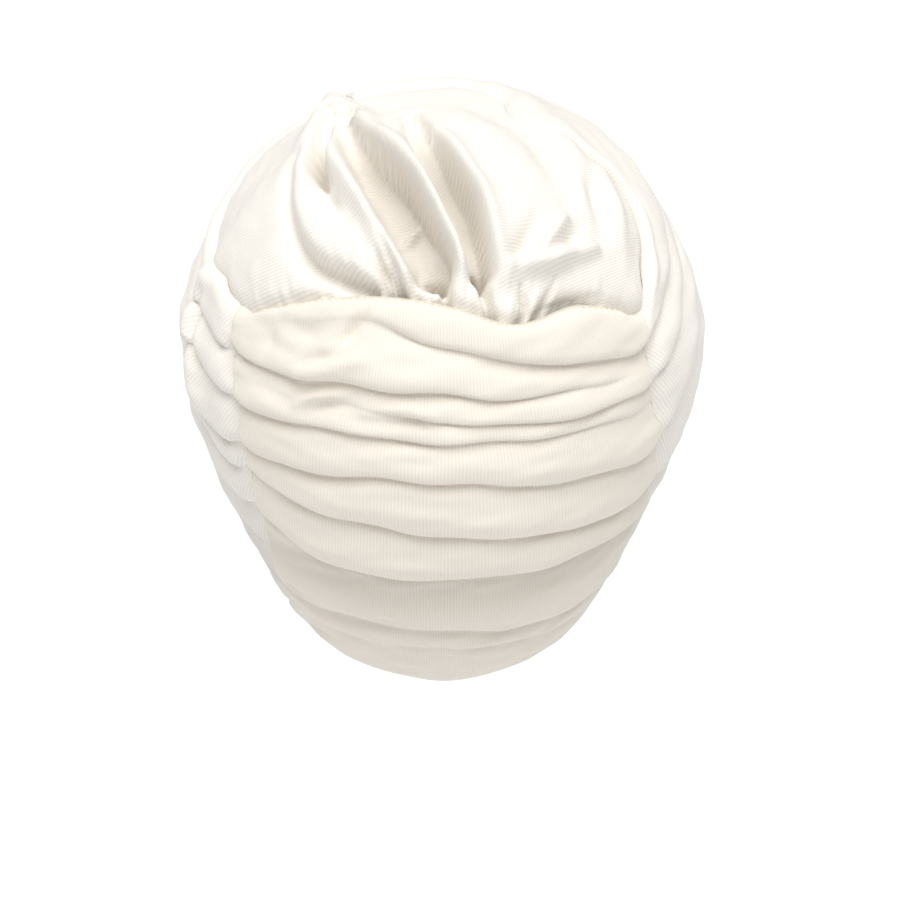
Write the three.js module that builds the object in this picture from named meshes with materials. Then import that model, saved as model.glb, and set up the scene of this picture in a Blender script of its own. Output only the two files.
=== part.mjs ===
// Turban headwrap: a ready-made jersey turban, as it stands when it is worn.
// Four sewn cloth panels: a ruched back band, a gathered crown and two front wraps.
// Millimetres, +Z up. The wearer faces -Y, and +X is the wearer's left.
// The origin is the middle of the head opening, level with the brow line.

import * as THREE from 'three';

// ---- Driving dimensions ------------------------------------------------------------

const WALL = 2.0;            // doubled jersey, measured square to the smooth form
const SEAM_GAP = 1.0;        // clear space between two panels along a seam
const SEAM_DIP = 2.0;        // how far a panel's border sinks where it is sewn
const SEAM_REACH = 7;        // the width over which the border sinks
const GROOVE_DEPTH = 1.2;    // a crease bites this far under the smooth form
const GROOVE_WIDTH = 2.5;
const ROLL_RISE = 2.2;       // the distance over which a roll swells out above its crease
const CROWN_TUCK = 4.5;      // the crown's border lies this far down, under its neighbours
const CROWN_TUCK_REACH = 12;
const OVERLAP_LIFT = 3.0;    // the upper front wrap rides this far out at its free edge
const OVERLAP_DROP = 5.0;    // the lower front wrap sinks this far under it
const LIFT_SHARE = 0.16;     // the share of each wrap's width over which they do so
const DROP_SHARE = 0.3;
const PLEAT_FADE = 15;       // how far a gather runs up the crown from its seam

const BAND_COLUMNS = 20;
const WRAP_COLUMNS = 17;
const WRAP_CROWDING = 0.5;
const CROWN_CELLS = 30;
const ROLL_STEPS = [0, 0.14, 0.42];   // where each roll has a row of points, bottom to top

const CLOTH = { color: 0xf3eee2, roughness: 0.92, metalness: 0 };

// ---- Tables ------------------------------------------------------------------------

// A table row becomes an object with one named value for each column.
function table(columns, rows) {
  const names = columns.split(' ');
  return rows.map((row) => Object.fromEntries(names.map((name, i) => [name, row[i]])));
}

// The smooth form that every panel is laid on: level sections, from the nape to the top.
const FORM = table('height half_width front back', [
  [-62, 62, 90, 84],
  [-40, 72, 99, 94],
  [-10, 83, 109, 105],
  [20, 93, 115, 111],
  [50, 101, 118, 114],
  [80, 102, 117, 111],
  [105, 92, 110, 102],
  [125, 80, 97, 87],
  [140, 64, 77, 67],
  [150, 46, 53, 45],
  [156, 22, 26, 21],
  [158, 0, 0, 0],
]);

// The crown's edge, where the band and the wraps begin: 0 is the back of the head,
// 90 the wearer's left and -90 the wearer's right.
const CROWN_EDGE = table('azimuth height', [
  [-180, 147], [-150, 150], [-120, 152], [-104, 150], [-93, 142], [-84, 131], [-75, 122],
  [-65, 113], [-57, 105], [-50, 112], [-38, 119], [-20, 119], [-4, 126], [13, 128],
  [31, 124], [45, 116], [57, 107], [70, 107], [82, 105], [96, 109], [110, 121],
  [124, 136], [137, 144], [155, 146], [180, 147],
]);

// The hem, lowest at the nape and highest over the brow.
const HEM = table('azimuth height', [
  [-180, 8], [-130, -2], [-90, -18], [-58, -32], [-30, -39], [0, -41],
  [30, -39], [58, -30], [90, -18], [130, -2], [180, 8],
]);

// The two side seams and the free front edges, as an azimuth for each height.
const SIDES = table('height left_seam right_seam right_front left_front', [
  [-45, 58, -64, -187, 188],
  [15, 48, -61, -191, 184],
  [50, 47, -56, -196, 178],
  [80, 50, -53, -202, 171],
  [105, 58, -57, -209, 164],
  [150, 70, -75, -220, 152],
]);

// Creases of the back band, top to bottom. Heights and depths are given at seven even
// stations from the wearer's left seam to the right one. The roll above a crease swells
// by its depth, so a crease fades out where its depth is 0.
const BAND_CREASES = [
  { heights: [101, 113, 120, 116, 109, 102, 96], depths: [0, 0, 0.8, 2.5, 3.5, 3.5, 2] },
  { heights: [95, 98, 102, 101, 97, 93, 89], depths: [2, 4, 4.5, 4, 2.5, 1, 0] },
  { heights: [87, 90, 93, 91, 88, 85, 82], depths: [0, 0, 0.5, 2.5, 3.5, 3.5, 2] },
  { heights: [78, 83, 85, 84, 82, 78, 74], depths: [3, 5, 5, 4.5, 4, 2, 0.5] },
  { heights: [61, 65, 69, 69, 64, 59, 55], depths: [2, 4, 4.5, 4.5, 4.5, 4.5, 2.5] },
  { heights: [51, 50, 49, 46, 42, 36, 32], depths: [2, 4.5, 5.5, 5.5, 5.5, 5, 2.5] },
  { heights: [33, 27, 26, 27, 25, 23, 16], depths: [3, 6, 6.5, 6.5, 6.5, 6, 3] },
  { heights: [-12, -9, -5, -7, -12, -15, -16], depths: [1, 4, 5, 5, 5, 4, 1.5] },
  { heights: [-22, -22, -19, -19, -22, -26, -26], depths: [0, 0.5, 1.5, 2, 2, 0.5, 0] },
];

// Creases of the front wraps at five stations, from the side seam to the free edge. They
// fan out from the twist over the wearer's left temple. The stations are closer together
// by the seam, at 0, 6, 25, 56 and 100 per cent of the way.
const RIGHT_CREASES = [
  { heights: [97, 105, 121, 136, 143], depths: [2, 4, 4.5, 4, 2] },
  { heights: [82, 89, 108, 126, 135], depths: [2, 4.5, 5, 4.5, 2.5] },
  { heights: [57, 67, 93, 114, 126], depths: [2.5, 5, 5.5, 5, 3] },
  { heights: [33, 40, 70, 96, 113], depths: [2.5, 5, 6, 5.5, 3] },
  { heights: [15, 20, 44, 71, 92], depths: [2.5, 4, 5, 5, 3] },
  { heights: [-15, -10, 10, 38, 62], depths: [1.5, 2, 3, 3.5, 2] },
];
const LEFT_CREASES = [
  { heights: [94, 94, 98, 123, 138], depths: [2, 3.5, 2, 4, 0] },
  { heights: [80, 80, 86, 110, 127], depths: [2.5, 4, 4, 4.5, 0] },
  { heights: [61, 59, 70, 95, 115], depths: [2.5, 5, 5, 4.5, 0] },
  { heights: [33, 32, 43, 64, 84], depths: [3, 4.5, 5, 4.5, 0] },
  { heights: [9, 11, 22, 42, 62], depths: [1.5, 3.5, 4.5, 3.5, 0] },
  { heights: [-12, -9, 2, 20, 34], depths: [1, 2, 3, 2.5, 0] },
];

// Folds of the crown, from the twist at the front to the seam at the back. x and y are
// measured over the cloth from the top of the head, x to the wearer's left and y to the
// back. Each passes through four points. A ridge has a positive rise, a valley a negative.
const CROWN_FOLDS = table('x0 y0 x1 y1 x2 y2 x3 y3 half_width rise_front rise_middle rise_back', [
  [43, -34, 22, 10, 5, 42, -8, 72, 7, 4, 6, 5],          // long round ridge in the middle
  [44, -22, 42, 14, 29, 46, 15, 76, 6, 3, 6, 4],         // ridge left of it
  [10, -8, -6, 24, -17, 50, -26, 76, 6, 3, 5, 3],        // edge of the right puff
  [46, -28, 56, 16, 54, 48, 34, 66, 8, 4, 5, 2],         // rolled loop of the left puff
  [43, -20, 46, 2, 48, 18, 44, 34, 6, -4, -7, -2],       // slit inside the loop
  [40, -16, 28, 20, 15, 50, 3, 74, 9, -4, -9, -7],       // deep valley left of the ridge
  [11, -9, 2, 22, -8, 48, -17, 74, 8, -4, -10, -6],      // deep valley right of the ridge
  [57, 4, 62, 36, 54, 64, 28, 82, 5, -3, -7, -7],        // crease outside the loop
  [-20, -14, -34, -2, -44, 16, -52, 34, 8, -2, -5, -2],  // soft dent in the right puff
  [-30, 73, -42, 70, -52, 63, -64, 54, 5, 2, 6, 3],      // crest above the gathers
  [-35, 90, -49, 84, -61, 76, -72, 68, 7, -3, -6, -2],   // cloth drawn in below the crest
]);

// Gathers of the crown along the back seam.
const PLEATS = table('azimuth depth', [
  [17, 3], [12, 3], [3, 4], [-3, 4], [-8, 3], [-15, 4], [-20, 3], [-26, 4], [-32, 3],
]);
const PLEAT_WIDTH = 3.5;

// ---- Curves ------------------------------------------------------------------------

const lerp = THREE.MathUtils.lerp;
const clamp = THREE.MathUtils.clamp;
const radians = THREE.MathUtils.degToRad;

function hermite(start, end, slopeStart, slopeEnd, t) {
  const t2 = t * t;
  const t3 = t2 * t;
  return (2 * t3 - 3 * t2 + 1) * start + (t3 - 2 * t2 + t) * slopeStart
    + (3 * t2 - 2 * t3) * end + (t3 - t2) * slopeEnd;
}

// A smooth curve through evenly spaced values, with place running from 0 to 1.
function through(values, place) {
  const last = values.length - 1;
  const step = clamp(Math.floor(place * last), 0, last - 1);
  const at = (i) => values[clamp(i, 0, last)];
  const slopeStart = (at(step + 1) - at(step - 1)) / 2;
  const slopeEnd = (at(step + 2) - at(step)) / 2;
  return hermite(at(step), at(step + 1), slopeStart, slopeEnd, place * last - step);
}

// A smooth curve through a table's rows, read at one value of its key column.
function lookUp(rows, key, column, value) {
  const last = rows.length - 1;
  let step = 0;
  while (step < last - 1 && value > rows[step + 1][key]) step += 1;
  const row = (i) => rows[clamp(i, 0, last)];
  const span = row(step + 1)[key] - row(step)[key];
  const slope = (i) => span * (row(i + 1)[column] - row(i - 1)[column])
    / (row(i + 1)[key] - row(i - 1)[key]);
  const t = clamp((value - row(step)[key]) / span, 0, 1);
  return hermite(row(step)[column], row(step + 1)[column], slope(step), slope(step + 1), t);
}

const bell = (distance, width) => Math.exp(-((distance / width) ** 2));

// ---- The smooth form ---------------------------------------------------------------

const TOP_LEVEL = FORM.length - 1;
const ARC_STEPS = 400;

// A level counts the sections of the form, with fractions between them.
function section(level) {
  const place = level / TOP_LEVEL;
  const value = (column) => through(FORM.map((row) => row[column]), place);
  return {
    height: value('height'),
    halfWidth: value('half_width'),
    front: value('front'),
    back: value('back'),
  };
}

function formPoint(level, azimuth) {
  const { height, halfWidth, front, back } = section(clamp(level, 0, TOP_LEVEL));
  const depth = Math.cos(azimuth) > 0 ? back : front;
  return new THREE.Vector3(halfWidth * Math.sin(azimuth), depth * Math.cos(azimuth), height);
}

function formNormal(level, azimuth) {
  const inside = clamp(level, 0.001, TOP_LEVEL - 0.02);
  const up = formPoint(inside + 0.001, azimuth).sub(formPoint(inside - 0.001, azimuth));
  const along = formPoint(inside, azimuth + 0.001).sub(formPoint(inside, azimuth - 0.001));
  return up.cross(along).normalize();
}

// The point at a rise outside the smooth form.
function laidPoint({ level, azimuth, rise }) {
  return formPoint(level, azimuth).addScaledVector(formNormal(level, azimuth), rise);
}

function levelAtHeight(height) {
  let low = 0;
  let high = TOP_LEVEL;
  for (let i = 0; i < 30; i += 1) {
    const middle = (low + high) / 2;
    if (section(middle).height < height) low = middle;
    else high = middle;
  }
  return (low + high) / 2;
}

// Distances over the form from its top, down a meridian of average depth.
const ARC = (() => {
  const rows = [{ level: TOP_LEVEL, arc: 0 }];
  let before = section(TOP_LEVEL);
  for (let i = 1; i <= ARC_STEPS; i += 1) {
    const level = TOP_LEVEL * (1 - i / ARC_STEPS);
    const here = section(level);
    const sideways = (here.halfWidth + here.back - before.halfWidth - before.back) / 2;
    const arc = rows[i - 1].arc + Math.hypot(sideways, here.height - before.height);
    rows.push({ level, arc });
    before = here;
  }
  return rows;
})();

function levelAtArc(arc) {
  const after = ARC.findIndex((row) => row.arc > arc);
  const { level, arc: start } = ARC[after - 1];
  return lerp(level, ARC[after].level, (arc - start) / (ARC[after].arc - start));
}

function arcAtLevel(level) {
  const place = (1 - level / TOP_LEVEL) * ARC_STEPS;
  const step = clamp(Math.floor(place), 0, ARC_STEPS - 1);
  return lerp(ARC[step].arc, ARC[step + 1].arc, place - step);
}

const crownEdgeHeight = (azimuth) => {
  const turned = THREE.MathUtils.euclideanModulo(azimuth + 180, 360) - 180;
  return lookUp(CROWN_EDGE, 'azimuth', 'height', turned);
};

// The level of the crown's edge, moved over the cloth away from the top.
function crownEdgeLevel(azimuth, away) {
  return levelAtArc(arcAtLevel(levelAtHeight(crownEdgeHeight(azimuth))) + away);
}

const hemHeight = (azimuth) => {
  const turned = THREE.MathUtils.euclideanModulo(azimuth + 180, 360) - 180;
  return lookUp(HEM, 'azimuth', 'height', turned);
};

// ---- Closed shells -----------------------------------------------------------------

// The volume inside a closed mesh, negative where its faces point inwards.
function enclosedVolume(positions, faces) {
  const corner = (i) => new THREE.Vector3().fromArray(positions, faces[i] * 3);
  let volume = 0;
  for (let i = 0; i < faces.length; i += 3) {
    volume += corner(i).dot(corner(i + 1).cross(corner(i + 2))) / 6;
  }
  return volume;
}

// Makes one closed wall from a grid of placed points: the outer face, the inner face one
// wall further in, and the four strips that join them.
function shell(name, columns, rows, placeAt) {
  const across = columns + 1;
  const layer = across * (rows + 1);
  const positions = [];
  for (const inward of [0, WALL]) {
    for (let j = 0; j <= rows; j += 1) {
      for (let i = 0; i <= columns; i += 1) {
        const place = placeAt(i, j);
        const point = laidPoint({ ...place, rise: place.rise - inward });
        positions.push(point.x, point.y, point.z);
      }
    }
  }
  const faces = [];
  const quad = (a, b, c, d) => faces.push(a, b, c, a, c, d);
  const at = (i, j) => j * across + i;
  for (let j = 0; j < rows; j += 1) {
    for (let i = 0; i < columns; i += 1) {
      const corners = [at(i, j), at(i, j + 1), at(i + 1, j + 1), at(i + 1, j)];
      quad(...corners);
      quad(...corners.map((corner) => corner + layer).reverse());
    }
  }
  const rim = [];
  for (let i = 0; i < columns; i += 1) rim.push(at(i, 0));
  for (let j = 0; j < rows; j += 1) rim.push(at(columns, j));
  for (let i = columns; i > 0; i -= 1) rim.push(at(i, rows));
  for (let j = rows; j > 0; j -= 1) rim.push(at(0, j));
  rim.forEach((corner, k) => {
    const next = rim[(k + 1) % rim.length];
    quad(corner, next, next + layer, corner + layer);
  });
  if (enclosedVolume(positions, faces) < 0) faces.reverse();
  const geometry = new THREE.BufferGeometry();
  geometry.setAttribute('position', new THREE.Float32BufferAttribute(positions, 3));
  geometry.setIndex(faces);
  geometry.computeVertexNormals();
  const mesh = new THREE.Mesh(geometry, new THREE.MeshStandardMaterial(CLOTH));
  mesh.name = name;
  return mesh;
}

// ---- Ruched panels: the band and the two wraps -------------------------------------

// How far the cloth swells between one crease and the next one up.
function rollRise(depth, climb, rollHeight) {
  const swell = 1 - Math.exp(-climb / ROLL_RISE);
  const fall = (1 - climb / rollHeight) ** 1.3;
  return depth * swell * fall;
}

function grooveRise(depth, distance) {
  return -GROOVE_DEPTH * Math.min(1, depth / 2) * bell(distance, GROOVE_WIDTH);
}

// A panel runs from the azimuth start(height) to end(height), and from the hem to the
// crown's edge. Its rows of points follow the creases.
function ruchedPanel({ name, columns, creases, crowding, start, end, borderRise }) {
  const rolls = creases.length + 1;
  const rows = rolls * ROLL_STEPS.length;
  const azimuthAt = (u, height) => lerp(start(height), end(height), u);
  const settle = (u, heightAt, guess) => {
    let height = guess;
    for (let i = 0; i < 8; i += 1) height = heightAt(azimuthAt(u, height));
    return height;
  };
  const gapSide = THREE.MathUtils.radToDeg(SEAM_GAP / 2 / 100);
  return shell(name, columns, rows, (i, j) => {
    const u = i / columns;
    const top = settle(u, (azimuth) => section(crownEdgeLevel(azimuth, SEAM_GAP / 2)).height, 120);
    const hem = settle(u, hemHeight, -30);
    const station = u ** crowding;
    const creaseHeights = creases.map((crease) => through(crease.heights, station));
    const creaseDepths = creases.map((crease) => Math.max(0, through(crease.depths, station)));
    const lines = [top, ...creaseHeights, hem].reverse();
    const depths = [0, ...creaseDepths, 0].reverse();
    const roll = Math.min(Math.floor(j / ROLL_STEPS.length), rolls - 1);
    const fraction = j === rows ? 1 : ROLL_STEPS[j % ROLL_STEPS.length];
    const rollHeight = lines[roll + 1] - lines[roll];
    const climb = fraction * rollHeight;
    const height = lines[roll] + climb;
    const across = azimuthAt(u, height);
    const fromSide = Math.min(across - Math.min(start(height), end(height)),
      Math.max(start(height), end(height)) - across);
    const side = start(height) < end(height) ? 1 : -1;
    const inset = u === 0 ? gapSide * side : u === 1 ? -gapSide * side : 0;
    const rise = rollRise(depths[roll], climb, rollHeight)
      + grooveRise(depths[roll], climb)
      + grooveRise(depths[roll + 1], rollHeight - climb)
      + borderRise(u, radians(fromSide) * 100, height, top - height);
    return { level: levelAtHeight(height), azimuth: radians(across + inset), rise };
  });
}

const side = (column) => (height) => lookUp(SIDES, 'height', column, height);

function backBand() {
  return ruchedPanel({
    name: 'back_band',
    columns: BAND_COLUMNS,
    creases: BAND_CREASES,
    crowding: 1,
    start: side('left_seam'),
    end: side('right_seam'),
    borderRise: (u, fromSide) => -SEAM_DIP * bell(fromSide, SEAM_REACH),
  });
}

function rightWrap() {
  return ruchedPanel({
    name: 'front_wrap_right',
    columns: WRAP_COLUMNS,
    creases: RIGHT_CREASES,
    crowding: WRAP_CROWDING,
    start: side('right_seam'),
    end: side('right_front'),
    borderRise: (u, fromSide) => (u < 0.5
      ? -SEAM_DIP * bell(fromSide, SEAM_REACH)
      : OVERLAP_LIFT * bell(1 - u, LIFT_SHARE)),
  });
}

function leftWrap() {
  return ruchedPanel({
    name: 'front_wrap_left',
    columns: WRAP_COLUMNS,
    creases: LEFT_CREASES,
    crowding: WRAP_CROWDING,
    start: side('left_seam'),
    end: side('left_front'),
    borderRise: (u, fromSide) => (u < 0.5
      ? -SEAM_DIP * bell(fromSide, SEAM_REACH)
      : -OVERLAP_DROP * bell(1 - u, DROP_SHARE)),
  });
}

// ---- The crown ---------------------------------------------------------------------

const FOLD_STEPS = 24;

// Each fold as a chain of points, with the rise that it has at each of them.
const FOLD_LINES = CROWN_FOLDS.map((fold) => {
  const xs = [fold.x0, fold.x1, fold.x2, fold.x3];
  const ys = [fold.y0, fold.y1, fold.y2, fold.y3];
  const rises = [fold.rise_front, fold.rise_middle, fold.rise_back];
  const chain = [];
  for (let i = 0; i <= FOLD_STEPS; i += 1) {
    const place = i / FOLD_STEPS;
    chain.push({ x: through(xs, place), y: through(ys, place), rise: through(rises, place) });
  }
  return { halfWidth: fold.half_width, chain };
});

function foldRise(x, y, { halfWidth, chain }) {
  let nearest = chain[0];
  let distance = Infinity;
  for (const point of chain) {
    const apart = Math.hypot(point.x - x, point.y - y);
    if (apart < distance) {
      nearest = point;
      distance = apart;
    }
  }
  return nearest.rise * bell(distance, halfWidth);
}

function pleatRise(azimuth, fromEdge) {
  const fade = Math.exp(-fromEdge / PLEAT_FADE);
  let rise = 0;
  for (const pleat of PLEATS) {
    const aside = radians(azimuth - pleat.azimuth) * 90;
    rise -= pleat.depth * bell(aside, PLEAT_WIDTH) * fade;
  }
  return rise;
}

// The crown is a square net drawn out to the shape of its edge, so that it has no pole.
function crown() {
  return shell('crown', CROWN_CELLS, CROWN_CELLS, (i, j) => {
    const s = (2 * i) / CROWN_CELLS - 1;
    const t = 1 - (2 * j) / CROWN_CELLS;
    const across = s * Math.sqrt(1 - (t * t) / 2);
    const along = t * Math.sqrt(1 - (s * s) / 2);
    const share = Math.min(1, Math.hypot(across, along));
    const azimuth = Math.atan2(across, along);
    const degrees = THREE.MathUtils.radToDeg(azimuth);
    const reach = arcAtLevel(crownEdgeLevel(degrees, -SEAM_GAP / 2));
    const arc = share * reach;
    const x = arc * Math.sin(azimuth);
    const y = arc * Math.cos(azimuth);
    const fromEdge = reach - arc;
    const folds = FOLD_LINES.reduce((sum, fold) => sum + foldRise(x, y, fold), 0);
    const tuck = -CROWN_TUCK * bell(fromEdge, CROWN_TUCK_REACH);
    const rise = folds * (1 - 0.5 * bell(fromEdge, CROWN_TUCK_REACH))
      + pleatRise(degrees, fromEdge) + tuck;
    return { level: levelAtArc(arc), azimuth, rise };
  });
}

// ---- The whole headwrap ------------------------------------------------------------

const headwrap = new THREE.Group();
headwrap.add(backBand(), crown(), rightWrap(), leftWrap());

export default headwrap;
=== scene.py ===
# %% [markdown]
# # A turban headwrap in fine rib jersey
# The real thing is a ready-made turban: four panels of soft stretch jersey, sewn together
# while they are gathered. A ruched band covers the back of the head, a crown is gathered
# into it and drawn forward to a twist, and two wraps run round the front. It is shown in
# the form that it has on a head, and nothing stands in for the head.
#
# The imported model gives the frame. It already holds the wall of each panel, so this
# script makes each one again with fine folds, knit ribs and thread.

import math

import bpy
import numpy as np
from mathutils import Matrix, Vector


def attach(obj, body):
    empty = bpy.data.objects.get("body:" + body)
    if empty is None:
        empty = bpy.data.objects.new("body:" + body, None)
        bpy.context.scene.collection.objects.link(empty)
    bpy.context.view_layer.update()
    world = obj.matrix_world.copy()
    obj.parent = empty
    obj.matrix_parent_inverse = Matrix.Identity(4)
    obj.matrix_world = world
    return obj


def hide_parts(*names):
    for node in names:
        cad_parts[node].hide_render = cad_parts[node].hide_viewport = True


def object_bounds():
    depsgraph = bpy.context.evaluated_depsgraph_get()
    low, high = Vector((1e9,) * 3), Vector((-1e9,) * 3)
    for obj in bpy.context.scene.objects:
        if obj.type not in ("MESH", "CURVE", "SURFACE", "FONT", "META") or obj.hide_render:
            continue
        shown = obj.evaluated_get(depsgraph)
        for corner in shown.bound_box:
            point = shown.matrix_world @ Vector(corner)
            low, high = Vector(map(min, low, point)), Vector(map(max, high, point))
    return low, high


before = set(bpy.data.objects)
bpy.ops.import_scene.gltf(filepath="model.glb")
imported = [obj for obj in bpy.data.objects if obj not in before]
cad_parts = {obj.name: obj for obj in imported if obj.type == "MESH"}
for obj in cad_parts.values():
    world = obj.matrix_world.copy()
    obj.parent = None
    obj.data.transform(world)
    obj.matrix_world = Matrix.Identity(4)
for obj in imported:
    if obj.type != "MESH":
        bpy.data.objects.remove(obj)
cad_low, cad_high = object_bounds()
print("nodes:", sorted(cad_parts))
print("box of the model, mm:", [round(1000 * size) for size in cad_high - cad_low])

# %% [markdown]
# ## Reading tables and curves
# Cloth folds have no simple outline, but each one can be told in a short table: a row for
# each fold, with a few stations along it. Two helpers turn such rows into smooth curves.
# Both work on whole arrays at once, so a panel of thirty thousand points takes a moment.


# %% Curves through a few values
def hermite(start, end, slope_start, slope_end, t):
    t2, t3 = t * t, t * t * t
    rising = (2 * t3 - 3 * t2 + 1) * start + (t3 - 2 * t2 + t) * slope_start
    return rising + (3 * t2 - 2 * t3) * end + (t3 - t2) * slope_end


def through(values, place):
    """A smooth curve through evenly spaced values or rows. place runs from 0 to 1."""
    values = np.asarray(values, float)
    last = len(values) - 1
    step = np.clip(np.floor(place * last).astype(int), 0, last - 1)
    t = place * last - step
    if values.ndim > 1:
        t = t[..., None]

    def at(i):
        return values[np.clip(i, 0, last)]

    slope_start = (at(step + 1) - at(step - 1)) / 2
    slope_end = (at(step + 2) - at(step)) / 2
    return hermite(at(step), at(step + 1), slope_start, slope_end, t)


def look_up(table, column, value):
    """A smooth curve through a table's rows. The first column is the key."""
    keys, values = table[:, 0], table[:, column]
    last = len(keys) - 1
    step = np.clip(np.searchsorted(keys, value, side="left") - 1, 0, last - 1)

    def slope(i):
        after, before = np.clip(i + 1, 0, last), np.clip(i - 1, 0, last)
        return (values[after] - values[before]) / (keys[after] - keys[before])

    span = keys[step + 1] - keys[step]
    t = np.clip((value - keys[step]) / span, 0, 1)
    ends = values[step], values[step + 1]
    return hermite(*ends, span * slope(step), span * slope(step + 1), t)


def bell(distance, width):
    return np.exp(-((distance / width) ** 2))


def lerp(start, end, share):
    return start + (end - start) * share


def drift(x, y, length, seed):
    """Smooth random waves about the given length apart, mostly between -1 and 1."""
    random = np.random.default_rng(seed)
    total = np.zeros(np.broadcast(x, y).shape)
    for _ in range(9):
        turn, phase = random.uniform(0, math.tau, 2)
        stride = math.tau / (length * random.uniform(0.7, 1.6))
        total += np.sin(stride * (x * math.cos(turn) + y * math.sin(turn)) + phase)
    return total / 3


print("half way through 0, 1, 0:", float(through([0, 1, 0], np.array(0.5))))

# %% [markdown]
# ## The smooth form
# Everything lies on one smooth form: the head, with the fullness of the wrap over it. It
# is a stack of level sections, each half an ellipse in front and half behind, with the
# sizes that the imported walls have. All tables are in millimetres and degrees, in the
# frame of the model: +Z up, the wearer facing -Y, and azimuth 0 at the back of the head,
# growing towards the wearer's left.

# %% Sections of the form
MM = 0.001
# height, half width, depth in front, depth behind
FORM = np.array([
    [-62, 62, 90, 84],
    [-40, 72, 99, 94],
    [-10, 83, 109, 105],
    [20, 93, 115, 111],
    [50, 101, 118, 114],
    [80, 102, 117, 111],
    [105, 92, 110, 102],
    [125, 80, 97, 87],
    [140, 64, 77, 67],
    [150, 46, 53, 45],
    [156, 22, 26, 21],
    [158, 0, 0, 0],
], float)
TOP_LEVEL = len(FORM) - 1


def form_point(level, azimuth):
    sections = through(FORM, np.clip(level, 0, TOP_LEVEL) / TOP_LEVEL)
    height, half_width, front, back = np.moveaxis(sections, -1, 0)
    depth = np.where(np.cos(azimuth) > 0, back, front)
    return np.stack([half_width * np.sin(azimuth), depth * np.cos(azimuth), height], -1)


def form_normal(level, azimuth):
    level = np.clip(level, 0.001, TOP_LEVEL - 0.02)
    up = form_point(level + 0.001, azimuth) - form_point(level - 0.001, azimuth)
    along = form_point(level, azimuth + 0.001) - form_point(level, azimuth - 0.001)
    normal = np.cross(up, along)
    return normal / np.linalg.norm(normal, axis=-1, keepdims=True)


FINE = np.linspace(0, TOP_LEVEL, 2001)
FINE_SECTIONS = through(FORM, FINE / TOP_LEVEL)
FINE_RADIUS = (FINE_SECTIONS[:, 1] + FINE_SECTIONS[:, 3]) / 2
STEPS = np.hypot(np.diff(FINE_RADIUS), np.diff(FINE_SECTIONS[:, 0]))
FINE_ARC = np.append(np.cumsum(STEPS[::-1])[::-1], 0)


def level_at_height(height):
    return np.interp(height, FINE_SECTIONS[:, 0], FINE)


def height_at_level(level):
    return np.interp(level, FINE, FINE_SECTIONS[:, 0])


def arc_at_level(level):
    """The distance over the form from its top."""
    return np.interp(level, FINE, FINE_ARC)


def level_at_arc(arc):
    return np.interp(arc, FINE_ARC[::-1], FINE[::-1])


print("over the form from the top to the nape, mm:", round(float(arc_at_level(0.0))))

# %% [markdown]
# ## Where the panels meet
# The crown's edge goes once round the head. Below it, two side seams part the band from
# the wraps, and the right wrap's free edge lies over the left one in front.

# %% Edges and seams
# azimuth, height
CROWN_EDGE = np.array([
    [-180, 147], [-150, 150], [-120, 152], [-104, 150], [-93, 142], [-84, 131],
    [-75, 122], [-65, 113], [-57, 105], [-50, 112], [-38, 119], [-20, 119], [-4, 126],
    [13, 128], [31, 124], [45, 116], [57, 107], [70, 107], [82, 105], [96, 109],
    [110, 121], [124, 136], [137, 144], [155, 146], [180, 147],
], float)
# azimuth, height
HEM = np.array([
    [-180, 8], [-130, -2], [-90, -18], [-58, -32], [-30, -39], [0, -41],
    [30, -39], [58, -30], [90, -18], [130, -2], [180, 8],
], float)
# height, azimuths of the left seam, right seam, right wrap's edge, left wrap's edge
SIDES = np.array([
    [-45, 58, -64, -187, 188],
    [15, 48, -61, -191, 184],
    [50, 47, -56, -196, 178],
    [80, 50, -53, -202, 171],
    [105, 58, -57, -209, 164],
    [150, 70, -75, -220, 152],
], float)
LEFT_SEAM, RIGHT_SEAM, RIGHT_FRONT, LEFT_FRONT = 1, 2, 3, 4


def all_round(table, azimuth):
    return look_up(table, 1, (azimuth + 180) % 360 - 180)


def crown_edge_level(azimuth, away=0):
    """The level of the crown's edge, moved over the cloth away from the top."""
    edge = level_at_height(all_round(CROWN_EDGE, azimuth))
    return level_at_arc(arc_at_level(edge) + away)


print("the hem at the nape, mm:", float(all_round(HEM, np.array(0.0))))

# %% [markdown]
# ## A sheet of cloth from a net of points
# Each panel is a net of points laid on the form, every point with a rise outside it. The
# net becomes a mesh with a UV map in millimetres of cloth, so the knit keeps its true
# scale wherever it bends. A Solidify modifier gives it the thickness of the jersey.

# %% From a net to a wall of cloth
CLOTH = 1.2
HEAD_MIDDLE = np.array([0, 0, 40])


def lay(level, azimuth, rise):
    """Points in mm at a rise outside the form. azimuth is in degrees."""
    turned = np.radians(azimuth)
    level, turned, rise = np.broadcast_arrays(level, turned, rise)
    return form_point(level, turned) + form_normal(level, turned) * rise[..., None]


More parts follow.
